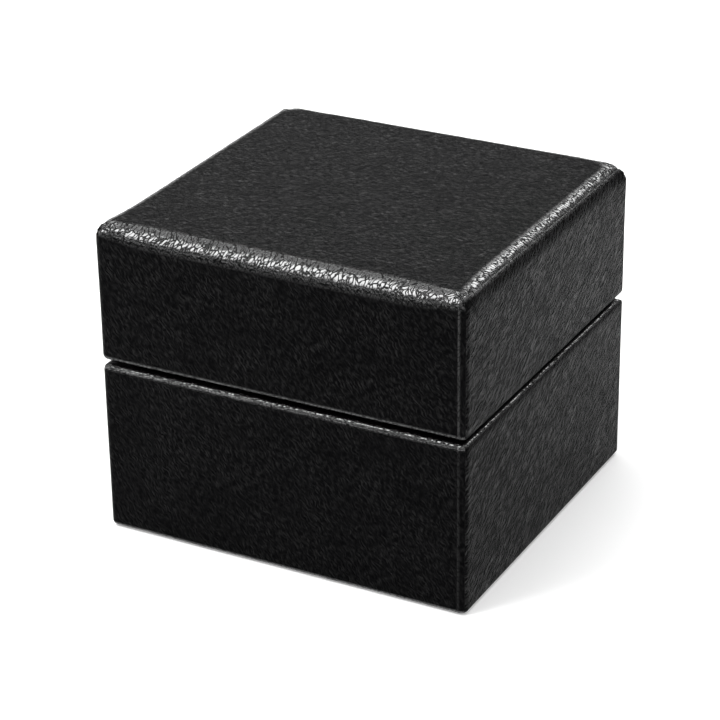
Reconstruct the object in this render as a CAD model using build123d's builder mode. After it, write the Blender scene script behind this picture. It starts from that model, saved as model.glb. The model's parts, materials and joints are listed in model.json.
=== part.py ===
from build123d import *
from math import cos, radians, sin, tan
import os

# A clamshell watch box: a leather-wrapped base and lid on two concealed sprung hinges.
# The frame: X to the right, Y to the back, Z up, origin on the table under the middle.
# All sizes are in millimetres.

# Outside of the closed box
box_width = 104.0
box_depth = 98.0
box_height = 87.0
parting_height = 48.1
shadow_gap = 1.2

# Leather wrap
leather = 0.8
corner_round = 1.8
base_rim_round = 1.6
base_foot_round = 1.2
lid_rim_round = 1.5
lid_roll = 5.4
wrap_roll_angles = [0, 22.5, 45, 67.5, 90]
roll_corner_share = 0.75
rear_round = 3.0
turn_in = 9.0
turn_under = 10.0

# Carcass boards
base_board = 4.0
floor_board = 3.0
lid_top_board_thickness = 3.2
board_roll = 3.0
board_roll_angles = [0, 45, 90]
foam = 2.5
foam_hem = 1.7

# Underside sheet
sheet = 0.4
sheet_margin = 4.0

# Collar and linings
collar_thickness = 1.8
collar_rise = 5.0
collar_clearance = 0.5
collar_bevel = 0.5
lining_thickness = 1.5
lining_clearance = 0.3
card_corner = 0.8

# Insert block, its well and the pad in it
deck_drop = 13.5
insert_clearance = 0.3
insert_corner = 1.2
well_length = 75.0
well_depth = 50.0
well_corner = 6.0
scallop_radius = 11.0
scallop_reach = 8.0
scallop_blend = 2.0
well_pad_thickness = 3.0

# Watch pillow
pillow_length = 72.0
pillow_depth = 46.0
pillow_height = 42.0
pillow_round = 16.0
pillow_cloth = 1.0
pillow_end_bulge = 2.2
pillow_end_bevel = 1.8
pillow_draw = 2.4
pillow_fullness = 2.4
sleeve_shares = [0, 0.35, 0.6, 0.82, 1]
pillow_corner_angles = [0, 22.5, 45, 67.5, 90]
pillow_clearance = 0.3

# Padded panel in the lid's ceiling
panel_board = 1.5
panel_clearance = 0.6
panel_pad_edge = 1.8
panel_pad_inset = 1.0
panel_pad_steps = [(1.4, 45), (0.6, 75)]
panel_corner = 3.0

# Hinges
hinge_spread = 56.0
hinge_width = 24.0
pivot_inset = 2.0
leaf = 0.6
leaf_height = 13.0
leaf_corner = 2.0
leaf_bend = 0.5
pin_fit = 0.02
knuckle_play = 0.05
knuckle_gap = 0.15
knuckle_seam = 0.2
middle_knuckle = 8.0
knuckle_room = 0.2
cam_depth = 0.25
blade = 0.25
blade_width = 5.0
blade_play = 0.05
blade_rise = 0.45
blade_bend = 0.3
blade_foot = 2.0
notch_side = 0.3
screw_radius = 0.8
screw_head_radius = 1.5
screw_head = 0.4
screw_length = 3.0
screw_fit = 0.02
screw_spread = 16.0
screw_drop = 7.5
screws_per_leaf = 2
screw_sides = 8
screw_head_sides = 12
cut_allowance = 1.0

# Heights that follow from those sizes
base_top = parting_height - shadow_gap / 2
lid_bottom = parting_height + shadow_gap / 2
floor_bottom = sheet + leather
floor_top = floor_bottom + floor_board
collar_top = base_top + collar_rise
lid_core_top = box_height - leather - foam
ceiling = lid_core_top - lid_top_board_thickness
deck = base_top - deck_drop
well_pad_top = floor_top + well_pad_thickness
pillow_bottom = well_pad_top + pillow_clearance
pillow_middle = pillow_bottom + pillow_height / 2

# Wall depths, measured inwards from the outside of the leather
base_board_face = leather + base_board
collar_face = base_board_face + leather
lid_board = base_board - collar_clearance
lid_board_face = leather + lid_board
lid_lining_face = lid_board_face + leather
collar_inner_face = collar_face + collar_thickness
lid_lining_inner_face = lid_lining_face + lining_thickness

# The hinge axis lies in the middle of the shadow gap, a little in from the back
pivot_y = box_depth / 2 - pivot_inset
pivot_z = parting_height
barrel_radius = shadow_gap / 2 + leather
pin_radius = barrel_radius - leaf - knuckle_play
cam_flat = barrel_radius - cam_depth
hinge_places = {"left": -hinge_spread / 2, "right": hinge_spread / 2}


def wall_y(face):
    """The Y of a rear wall face at a depth from the outside, counted from the hinge axis."""
    return pivot_inset - face


def away(side):
    """Draws away from the parting line: up for the lid (1), down for the base (-1)."""
    return Align.MIN if side > 0 else Align.MAX


def hinge_plane(x):
    """A plane across the hinge axis at x: its first axis points back, its second up."""
    return Plane(origin=(x, pivot_y, pivot_z), x_dir=(0, 1, 0), z_dir=(1, 0, 0))


def inner_plane(face):
    """A plane on a rear board's inner face, looking into the box, centred at the axis height."""
    return Plane(origin=(0, pivot_y + wall_y(face), pivot_z), x_dir=(1, 0, 0), z_dir=(0, -1, 0))


def rear_edge(inset, rim_z, side):
    """What the larger rounding of a rear rim takes off the base (-1) or the lid (1)."""
    radius = rear_round - inset
    centre = (box_depth / 2 - inset - radius, rim_z + side * radius)
    reach = radius + cut_allowance
    with BuildPart() as waste:
        with BuildSketch(Plane.YZ.offset(-box_width / 2 - cut_allowance)):
            with Locations(centre):
                Rectangle(reach, reach, align=(Align.MIN, away(-side)))
                Circle(radius, mode=Mode.SUBTRACT)
        extrude(amount=box_width + 2 * cut_allowance)
    return waste.part


def base_form(inset):
    """The base's outside with its rounded edges, pulled in by inset all round."""
    bottom = sheet + inset
    top = base_top - inset
    waste = rear_edge(inset, top, -1)
    with BuildPart() as form:
        with BuildSketch(Plane.XY.offset(bottom)):
            RectangleRounded(box_width - 2 * inset, box_depth - 2 * inset, corner_round - inset)
        extrude(amount=top - bottom)
        fillet(form.edges().group_by(Axis.Z)[-1], base_rim_round - inset)
        if not inset:
            fillet(form.edges().group_by(Axis.Z)[0], base_foot_round)
        add(waste, mode=Mode.SUBTRACT)
    return form.part


def rolled_cap(width, depth, corner, roll, angles, top):
    """A cap whose edges roll over by a quarter round while its corners open out with the roll."""
    with BuildPart() as cap:
        for angle in angles:
            inset = roll * (1 - cos(radians(angle)))
            height = top - roll * (1 - sin(radians(angle)))
            with BuildSketch(Plane.XY.offset(height)):
                RectangleRounded(
                    width - 2 * inset,
                    depth - 2 * inset,
                    corner + roll_corner_share * inset,
                )
        loft(ruled=True)
    return cap.part


def rolled_block(inset, roll, angles, bottom, top):
    """A block of the lid's plan, pulled in by inset, with a rolled top edge."""
    width = box_width - 2 * inset
    depth = box_depth - 2 * inset
    corner = corner_round - inset
    cap = rolled_cap(width, depth, corner, roll, angles, top)
    with BuildPart() as block:
        with BuildSketch(Plane.XY.offset(bottom)):
            RectangleRounded(width, depth, corner)
        extrude(amount=top - roll - bottom)
        add(cap)
    return block.part


def lid_form(inset, top, roll, angles):
    """The lid's outside or its core, pulled in by inset, with a rolled top and rounded rims."""
    bottom = lid_bottom + inset
    block = rolled_block(inset, roll, angles, bottom, top)
    waste = rear_edge(inset, bottom, 1)
    with BuildPart() as form:
        add(block)
        fillet(form.edges().group_by(Axis.Z)[0], lid_rim_round - inset)
        add(waste, mode=Mode.SUBTRACT)
    return form.part


def ring(outer_face, inner_face, bottom, top):
    """A square ring between two wall depths."""
    with BuildPart() as band:
        with BuildSketch(Plane.XY.offset(bottom)):
            Rectangle(box_width - 2 * outer_face, box_depth - 2 * outer_face)
            Rectangle(
                box_width - 2 * inner_face,
                box_depth - 2 * inner_face,
                mode=Mode.SUBTRACT,
            )
        extrude(amount=top - bottom)
    return band.part


def slab(width, depth, x, y, bottom, top):
    """A plain slab of board, before it is shaped to the carcass."""
    with BuildPart() as board:
        with BuildSketch(Plane.XY.offset(bottom)):
            with Locations((x, y)):
                Rectangle(width, depth)
        extrude(amount=top - bottom)
    return board.part


def hinge_cut(outline):
    """A cut of one outline, drawn across the axis, over the width of both hinges."""
    length = hinge_width + 2 * notch_side
    with BuildPart() as cut:
        for place in hinge_places.values():
            with BuildSketch(hinge_plane(place - length / 2)):
                add(outline)
            extrude(amount=length)
    return cut.part


def wrap_notch(face, side):
    """Bares the rear rim of a wrap at the hinges: its turn-in, its rim and round the barrel."""
    rim = side * shadow_gap / 2
    inner_y = wall_y(face + leather)
    with BuildSketch() as outline:
        Circle(barrel_radius + knuckle_room)
        with Locations((inner_y, rim)):
            Rectangle(-inner_y, leather, align=(Align.MIN, away(side)))
            Rectangle(leather, turn_in, align=(Align.MIN, away(side)))
    return hinge_cut(outline.sketch)


def leaf_mortise(face, side):
    """Lets the leaves' plates into a rear board's inner face and clears the barrels."""
    with BuildSketch() as outline:
        Circle(barrel_radius + knuckle_room)
        with Locations((wall_y(face), side * barrel_radius)):
            height = leaf_height - barrel_radius + notch_side
            Rectangle(leaf, height, align=(Align.MIN, away(side)))
    return hinge_cut(outline.sketch)


def screw_points(side):
    """Where the screws of both hinges stand in a rear wall, across and up from the axis."""
    step = screw_spread / (screws_per_leaf - 1)
    starts = [place - screw_spread / 2 for place in hinge_places.values()]
    return [(start + n * step, side * screw_drop) for start in starts for n in range(screws_per_leaf)]


def screw_bores(face, side):
    """The bores of the screws through the leaves and into a rear board."""
    with BuildPart() as bores:
        with BuildSketch(inner_plane(face).offset(cut_allowance)):
            with Locations(*screw_points(side)):
                Circle(screw_radius + screw_fit)
        extrude(amount=-screw_length - screw_fit - cut_allowance)
    return bores.part


base_outside = base_form(0)
base_core = base_form(leather)
lid_outside = lid_form(0, box_height, lid_roll, wrap_roll_angles)
lid_wrap_inside = lid_form(leather, box_height - leather, lid_roll - leather, wrap_roll_angles)
lid_core = lid_form(leather, lid_core_top, board_roll, board_roll_angles)
core_width = box_width - 2 * leather
core_depth = box_depth - 2 * leather
base_core_top = base_top - leather
lid_core_bottom = lid_bottom + leather
base_mortise = leaf_mortise(base_board_face, -1)
lid_mortise = leaf_mortise(lid_board_face, 1)
base_bores = screw_bores(base_board_face, -1)
lid_bores = screw_bores(lid_board_face, 1)

# Base carcass: a floor between four walls, front and back over the full width
with BuildPart() as base_floor_board:
    with BuildSketch(Plane.XY.offset(floor_bottom)):
        Rectangle(box_width - 2 * base_board_face, box_depth - 2 * base_board_face)
    extrude(amount=floor_board)

long_wall_y = (core_depth - base_board) / 2
short_wall_x = (core_width - base_board) / 2
short_wall_length = core_depth - 2 * base_board

base_front_board_slab = slab(core_width, base_board, 0, -long_wall_y, floor_bottom, base_core_top)
with BuildPart() as base_front_board:
    add(base_front_board_slab)
    add(base_core, mode=Mode.INTERSECT)

base_back_board_slab = slab(core_width, base_board, 0, long_wall_y, floor_bottom, base_core_top)
with BuildPart() as base_back_board:
    add(base_back_board_slab)
    add(base_core, mode=Mode.INTERSECT)
    add(base_mortise, mode=Mode.SUBTRACT)
    add(base_bores, mode=Mode.SUBTRACT)

base_left_board_slab = slab(base_board, short_wall_length, -short_wall_x, 0, floor_bottom, base_core_top)
with BuildPart() as base_left_board:
    add(base_left_board_slab)
    add(base_core, mode=Mode.INTERSECT)

base_right_board_slab = slab(base_board, short_wall_length, short_wall_x, 0, floor_bottom, base_core_top)
with BuildPart() as base_right_board:
    add(base_right_board_slab)
    add(base_core, mode=Mode.INTERSECT)

# Base wrap: a skin over the carcass, turned in over the rim and under the floor
base_turn_in = ring(base_board_face, collar_face, base_top - turn_in, base_core_top)
base_notch = wrap_notch(base_board_face, -1)

with BuildPart() as base_leather_cover:
    add(base_outside)
    add(base_core, mode=Mode.SUBTRACT)
    with BuildSketch(Plane.XY.offset(base_top)):
        Rectangle(box_width - 2 * collar_face, box_depth - 2 * collar_face)
    extrude(amount=-leather, mode=Mode.SUBTRACT)
    with BuildSketch(Plane.XY.offset(sheet)):
        Rectangle(box_width - 2 * turn_under, box_depth - 2 * turn_under)
    extrude(amount=leather, mode=Mode.SUBTRACT)
    add(base_turn_in)
    add(base_notch, mode=Mode.SUBTRACT)

# Underside sheet: flat over the turned-under leather, pressed up against the floor inside it
with BuildPart() as underside_sheet:
    with BuildSketch(Plane.XY):
        RectangleRounded(box_width - 2 * sheet_margin, box_depth - 2 * sheet_margin, corner_round)
    extrude(amount=sheet)
    with BuildSketch(Plane.XY.offset(sheet)):
        Rectangle(box_width - 2 * turn_under, box_depth - 2 * turn_under)
    extrude(amount=leather)

# Collar: lines the base from its floor and stands above the rim to guide and stop the lid
with BuildPart() as lining_collar:
    with BuildSketch(Plane.XY.offset(floor_top)):
        RectangleRounded(box_width - 2 * collar_face, box_depth - 2 * collar_face, card_corner)
        Rectangle(
            box_width - 2 * collar_inner_face,
            box_depth - 2 * collar_inner_face,
            mode=Mode.SUBTRACT,
        )
    extrude(amount=collar_top - floor_top)
    rim_edges = lining_collar.faces().sort_by(Axis.Z)[-1].edges()
    chamfer(rim_edges, collar_bevel)


def within_scallop(corner):
    """Tells the corners where a scallop meets the well from the well's own rounded ones."""
    return abs(corner.X) < scallop_radius


# Insert block: a well for the pillow with a finger scallop in front and behind
with BuildPart() as insert_block:
    with BuildSketch(Plane.XY.offset(floor_top)):
        RectangleRounded(
            box_width - 2 * (collar_inner_face + insert_clearance),
            box_depth - 2 * (collar_inner_face + insert_clearance),
            insert_corner,
        )
    extrude(amount=deck - floor_top)
    with BuildSketch(Plane.XY.offset(floor_top)) as well_outline:
        RectangleRounded(well_length, well_depth, well_corner)
        scallop_y = well_depth / 2 + scallop_reach - scallop_radius
        with Locations((0, scallop_y), (0, -scallop_y)):
            Circle(scallop_radius)
        fillet(well_outline.vertices().filter_by(within_scallop), scallop_blend)
    extrude(amount=deck - floor_top, mode=Mode.SUBTRACT)

with BuildPart() as well_pad:
    with BuildSketch(Plane.XY.offset(floor_top)):
        RectangleRounded(
            well_length - 2 * insert_clearance,
            well_depth - 2 * insert_clearance,
            well_corner - insert_clearance,
        )
    extrude(amount=well_pad_thickness)


# Watch pillow: an oval sleeve that is fullest in the middle and drawn in at its sewn ends
def pillow_section(pull):
    """The pillow's outline across its length, pulled in, with each soft corner in short runs."""
    radius = pillow_round - pull
    points = []
    for turn in (0, 90, 180, 270):
        side_y = 1 if turn in (0, 270) else -1
        side_z = 1 if turn in (0, 90) else -1
        for angle in pillow_corner_angles:
            y = side_y * (pillow_depth / 2 - pillow_round) + radius * cos(radians(turn + angle))
            z = side_z * (pillow_height / 2 - pillow_round) + radius * sin(radians(turn + angle))
            points.append((y, z))
    return points


def sleeve_half(inset):
    """Half of the pillow's long form, from its fullest section to a seam, pulled in by inset."""
    with BuildPart() as form:
        for share in sleeve_shares:
            pull = inset + pillow_draw * share**pillow_fullness
            with BuildSketch(Plane.YZ.offset(pillow_seam_x * share)):
                with Locations((0, pillow_middle)):
                    Polygon(*pillow_section(pull), align=None)
        loft(ruled=True)
    return form.part


pillow_seam_x = pillow_length / 2 - pillow_end_bulge
sleeve_outside = sleeve_half(0)
sleeve_inside = sleeve_half(pillow_cloth)

with BuildPart() as pillow_core:
    add(sleeve_inside)
    mirror(about=Plane.YZ)

with BuildPart() as pillow_cover:
    add(sleeve_outside)
    mirror(about=Plane.YZ)
    add(pillow_core.part, mode=Mode.SUBTRACT)

# End panels, domed outwards from their seams
with BuildPart() as pillow_right_end:
    with BuildSketch(Plane.YZ.offset(pillow_seam_x)):
        with Locations((0, pillow_middle)):
            Polygon(*pillow_section(pillow_draw), align=None)
    extrude(amount=pillow_end_bulge)
    chamfer(pillow_right_end.faces().sort_by(Axis.X)[-1].edges(), pillow_end_bevel)

with BuildPart() as pillow_left_end:
    mirror(pillow_right_end.part, about=Plane.YZ)

# Lid carcass: a top board with rolled edges on four walls
lid_long_wall_y = (core_depth - lid_board) / 2
lid_short_wall_x = (core_width - lid_board) / 2
lid_short_wall_length = core_depth - 2 * lid_board

top_board_block = rolled_block(leather, board_roll, board_roll_angles, ceiling, lid_core_top)

with BuildPart() as lid_top_board:
    add(top_board_block)

lid_front_board_slab = slab(core_width, lid_board, 0, -lid_long_wall_y, lid_core_bottom, ceiling)
with BuildPart() as lid_front_board:
    add(lid_front_board_slab)
    add(lid_core, mode=Mode.INTERSECT)

lid_back_board_slab = slab(core_width, lid_board, 0, lid_long_wall_y, lid_core_bottom, ceiling)
with BuildPart() as lid_back_board:
    add(lid_back_board_slab)
    add(lid_core, mode=Mode.INTERSECT)
    add(lid_mortise, mode=Mode.SUBTRACT)
    add(lid_bores, mode=Mode.SUBTRACT)

lid_left_board_slab = slab(lid_board, lid_short_wall_length, -lid_short_wall_x, 0, lid_core_bottom, ceiling)
with BuildPart() as lid_left_board:
    add(lid_left_board_slab)
    add(lid_core, mode=Mode.INTERSECT)

lid_right_board_slab = slab(lid_board, lid_short_wall_length, lid_short_wall_x, 0, lid_core_bottom, ceiling)
with BuildPart() as lid_right_board:
    add(lid_right_board_slab)
    add(lid_core, mode=Mode.INTERSECT)

# Foam pad: fills the wrap over the top board and thins out down the rolled edge
with BuildPart() as lid_foam_pad:
    foam_bottom = lid_core_top - foam_hem
    add(lid_wrap_inside)
    with BuildSketch(Plane.XY.offset(foam_bottom)):
        Rectangle(box_width, box_depth)
    extrude(amount=box_height - foam_bottom, mode=Mode.INTERSECT)
    add(lid_core, mode=Mode.SUBTRACT)

# Lid wrap: a skin over foam and carcass, turned in over the rim
lid_turn_in = ring(lid_board_face, lid_lining_face, lid_core_bottom, lid_bottom + turn_in)
lid_notch = wrap_notch(lid_board_face, 1)

with BuildPart() as lid_leather_cover:
    add(lid_outside)
    add(lid_wrap_inside, mode=Mode.SUBTRACT)
    with BuildSketch(Plane.XY.offset(lid_bottom)):
        Rectangle(box_width - 2 * lid_lining_face, box_depth - 2 * lid_lining_face)
    extrude(amount=leather, mode=Mode.SUBTRACT)
    add(lid_turn_in)
    add(lid_notch, mode=Mode.SUBTRACT)

# Lid lining: its lower edge stops on the collar and so keeps the shadow gap open
with BuildPart() as lid_lining:
    with BuildSketch(Plane.XY.offset(collar_top + lining_clearance)):
        RectangleRounded(box_width - 2 * lid_lining_face, box_depth - 2 * lid_lining_face, card_corner)
        Rectangle(
            box_width - 2 * lid_lining_inner_face,
            box_depth - 2 * lid_lining_inner_face,
            mode=Mode.SUBTRACT,
        )
    extrude(amount=ceiling - collar_top - lining_clearance)

# Padded panel under the top board
panel_face = lid_lining_inner_face + panel_clearance
panel_width = box_width - 2 * panel_face
panel_depth = box_depth - 2 * panel_face

with BuildPart() as lid_panel_board:
    with BuildSketch(Plane.XY.offset(ceiling)):
        RectangleRounded(panel_width, panel_depth, panel_corner)
    extrude(amount=-panel_board)

with BuildPart() as lid_panel_pad:
    with BuildSketch(Plane.XY.offset(ceiling - panel_board)):
        RectangleRounded(panel_width, panel_depth, panel_corner)
    extrude(amount=-panel_pad_edge)
    step_z = ceiling - panel_board - panel_pad_edge
    step_inset = panel_pad_inset
    for drop, taper in panel_pad_steps:
        with BuildSketch(Plane(origin=(0, 0, step_z), x_dir=(1, 0, 0), z_dir=(0, 0, -1))):
            Rectangle(panel_width - 2 * step_inset, panel_depth - 2 * step_inset)
        extrude(amount=drop, taper=taper)
        step_z -= drop
        step_inset += drop * tan(radians(taper))


# Hinges: rolled leaves on a pin, and a blade spring that bears on the middle knuckle's flats
def knuckle_spans(middle):
    """The stretches of a hinge's width that its middle knuckle, or its two outer ones, take."""
    half = hinge_width / 2
    inner = middle_knuckle / 2
    if middle:
        return [(-inner, inner)]
    return [(-half, -inner - knuckle_gap), (inner + knuckle_gap, half)]


def bend_corner(section, side):
    """The corner of a leaf's section on the outside of its bend, inside the box by the rim."""
    inner = section.vertices().sort_by(Axis.X)[:2]
    return inner.sort_by(Axis.Y)[0 if side > 0 else -1]


def leaf_plate(face, side):
    """The section of a leaf's plate, which lies in its mortise and stands up over the bare rim."""
    inner_reach = barrel_radius - leaf
    with BuildSketch() as section:
        with Locations((wall_y(face), side * inner_reach)):
            Rectangle(leaf, leaf_height - inner_reach, align=(Align.MIN, away(side)))
        fillet(bend_corner(section, side), leaf_bend)
    return section.sketch


def leaf_arm(face, side, bore):
    """The section of an arm that runs over the bare rim and curls round the pin."""
    arm_y = wall_y(face)
    seam_z = side * (barrel_radius - leaf - knuckle_seam / 2)
    with BuildSketch() as section:
        with Locations((arm_y, side * barrel_radius)):
            Rectangle(-arm_y, leaf, align=(Align.MIN, away(-side)))
        fillet(bend_corner(section, side), leaf_bend)
        Circle(barrel_radius)
        Circle(bore, mode=Mode.SUBTRACT)
        with Locations((-barrel_radius / 2, seam_z)):
            Rectangle(barrel_radius, knuckle_seam, mode=Mode.SUBTRACT)
    return section.sketch


def hinge_leaf(place, face, side, middle, bore, bores):
    """A leaf whose plate runs the full width and whose arms reach the knuckles it carries."""
    plate = leaf_plate(face, side)
    arm = leaf_arm(face, side, bore)
    with BuildPart() as blank:
        with BuildSketch(hinge_plane(place - hinge_width / 2)):
            add(plate)
        extrude(amount=hinge_width)
        corners = blank.edges().filter_by(Axis.Y).group_by(Axis.Z)[0 if side < 0 else -1]
        fillet(corners, leaf_corner)
        for start, end in knuckle_spans(middle):
            with BuildSketch(hinge_plane(place + start)):
                add(arm)
            extrude(amount=end - start)
        if middle:
            with BuildSketch(hinge_plane(place - middle_knuckle / 2)):
                with Locations((-cam_flat, 0)):
                    Rectangle(cut_allowance, 2 * (barrel_radius - leaf), align=(Align.MAX, Align.CENTER))
                with Locations((0, -cam_flat)):
                    Rectangle(2 * barrel_radius, cut_allowance, align=(Align.CENTER, Align.MAX))
            extrude(amount=middle_knuckle, mode=Mode.SUBTRACT)
        add(bores, mode=Mode.SUBTRACT)
    return blank


def blade_spring(place):
    """A strip clamped inside the base leaf, bent over it and up in front of the cam flat."""
    inner_y = wall_y(base_board_face) - blade / 2
    over_z = -(barrel_radius - leaf) + blade_play + blade / 2
    tip_y = -cam_flat - blade_play - blade / 2
    foot_z = -screw_drop - blade_foot
    stops = [(inner_y, foot_z), (inner_y, over_z), (tip_y, over_z), (tip_y, blade_rise)]
    foot_width = screw_spread + 2 * blade_foot
    with BuildPart() as spring:
        with BuildSketch(hinge_plane(place - blade_width / 2)):
            with BuildLine():
                FilletPolyline(*stops, radius=blade_bend)
            trace(line_width=blade)
        extrude(amount=blade_width)
        with BuildSketch(hinge_plane(place - foot_width / 2)):
            with Locations((inner_y, foot_z)):
                Rectangle(blade, 2 * blade_foot, align=(Align.CENTER, Align.MIN))
        extrude(amount=foot_width)
        add(base_bores, mode=Mode.SUBTRACT)
    return spring


def hinge_pin(place):
    """A plain pin, as long as the hinge is wide."""
    with BuildPart() as pin:
        with BuildSketch(hinge_plane(place - hinge_width / 2)):
            Circle(pin_radius)
        extrude(amount=hinge_width)
    return pin


def hinge_screws(face, side, seat):
    """The screws of both hinges, seated on the leaf or on the spring that lies over it."""
    with BuildPart() as screws:
        with BuildSketch(inner_plane(face).offset(seat)):
            with Locations(*screw_points(side)):
                RegularPolygon(screw_head_radius, screw_head_sides)
        extrude(amount=screw_head)
        with BuildSketch(inner_plane(face).offset(seat)):
            with Locations(*screw_points(side)):
                RegularPolygon(screw_radius, screw_sides)
        extrude(amount=-screw_length - seat)
    return screws


hinge_pieces = {}
for name, place in hinge_places.items():
    base_bore = pin_radius + pin_fit
    lid_bore = pin_radius + knuckle_play
    hinge_pieces[name + "_hinge_base_leaf"] = hinge_leaf(
        place, base_board_face, -1, False, base_bore, base_bores
    )
    hinge_pieces[name + "_hinge_lid_leaf"] = hinge_leaf(
        place, lid_board_face, 1, True, lid_bore, lid_bores
    )
    hinge_pieces[name + "_hinge_pin"] = hinge_pin(place)
    hinge_pieces[name + "_hinge_spring"] = blade_spring(place)

base_hinge_screws = hinge_screws(base_board_face, -1, blade)
lid_hinge_screws = hinge_screws(lid_board_face, 1, 0)

# Every piece under the name of its node
pieces = {
    "base_floor_board": base_floor_board,
    "base_front_board": base_front_board,
    "base_back_board": base_back_board,
    "base_left_board": base_left_board,
    "base_right_board": base_right_board,
    "base_leather_cover": base_leather_cover,
    "underside_sheet": underside_sheet,
    "lining_collar": lining_collar,
    "insert_block": insert_block,
    "well_pad": well_pad,
    "pillow_core": pillow_core,
    "pillow_cover": pillow_cover,
    "pillow_left_end": pillow_left_end,
    "pillow_right_end": pillow_right_end,
    "lid_top_board": lid_top_board,
    "lid_front_board": lid_front_board,
    "lid_back_board": lid_back_board,
    "lid_left_board": lid_left_board,
    "lid_right_board": lid_right_board,
    "lid_foam_pad": lid_foam_pad,
    "lid_leather_cover": lid_leather_cover,
    "lid_lining": lid_lining,
    "lid_panel_board": lid_panel_board,
    "lid_panel_pad": lid_panel_pad,
    "base_hinge_screws": base_hinge_screws,
    "lid_hinge_screws": lid_hinge_screws,
}
pieces.update(hinge_pieces)

os.makedirs("parts", exist_ok=True)
for name, piece in pieces.items():
    piece.part.label = name
    export_step(piece.part, "parts/" + name + ".step")
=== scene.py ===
"""Looks of a leather-wrapped clamshell watch box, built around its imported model.

Shapes are modelled in millimetres and turned into metres when a piece is finished.
"""

import json
import logging
import math
from dataclasses import dataclass, field
from enum import Enum
from typing import Any, Callable, ClassVar, Optional, Sequence

import bmesh
import bpy
from mathutils import Matrix, Vector, noise


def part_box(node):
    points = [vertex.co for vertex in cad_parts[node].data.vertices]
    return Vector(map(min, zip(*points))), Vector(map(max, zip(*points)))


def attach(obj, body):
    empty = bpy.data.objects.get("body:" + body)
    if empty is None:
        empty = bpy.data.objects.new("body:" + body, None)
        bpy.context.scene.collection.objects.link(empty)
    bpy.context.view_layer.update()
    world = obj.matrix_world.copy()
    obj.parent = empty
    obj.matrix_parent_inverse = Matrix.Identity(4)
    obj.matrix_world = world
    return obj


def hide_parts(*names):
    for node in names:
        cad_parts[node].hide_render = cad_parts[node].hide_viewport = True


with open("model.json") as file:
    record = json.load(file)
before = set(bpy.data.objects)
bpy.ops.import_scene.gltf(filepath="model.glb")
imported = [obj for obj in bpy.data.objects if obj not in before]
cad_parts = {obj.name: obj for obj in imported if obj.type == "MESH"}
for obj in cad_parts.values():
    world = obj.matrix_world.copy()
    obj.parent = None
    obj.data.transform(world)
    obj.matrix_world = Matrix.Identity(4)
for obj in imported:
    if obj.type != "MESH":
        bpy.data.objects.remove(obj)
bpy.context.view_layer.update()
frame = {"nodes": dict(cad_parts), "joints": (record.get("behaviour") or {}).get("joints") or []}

MM = 0.001
TINY = 1e-6
NEAR_MM = 1e-3
Socket = bpy.types.NodeSocket
Colour = tuple[float, float, float, float]
log = logging.getLogger("watch_box")


class Body(Enum):
    """The moving bodies of the box."""

    BASE = "base"
    LID = "lid"
    PILLOW = "pillow"


class Opening(Enum):
    """Which end of a wrap is open: the base's top or the lid's bottom."""

    TOP = 1
    BOTTOM = -1


def clamp(value: float, low: float, high: float) -> float:
    """Returns value kept between low and high."""
    return max(low, min(high, value))


def smoothstep(low: float, high: float, value: float) -> float:
    """Returns 0 below low, 1 above high, and an eased blend between them."""
    share = clamp((value - low) / (high - low), 0.0, 1.0)
    return share * share * (3 - 2 * share)


def node_box(node: str) -> tuple[Vector, Vector]:
    """Returns a CAD node's lowest and highest corners in millimetres."""
    low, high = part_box(node)
    return Vector(low) / MM, Vector(high) / MM


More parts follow.
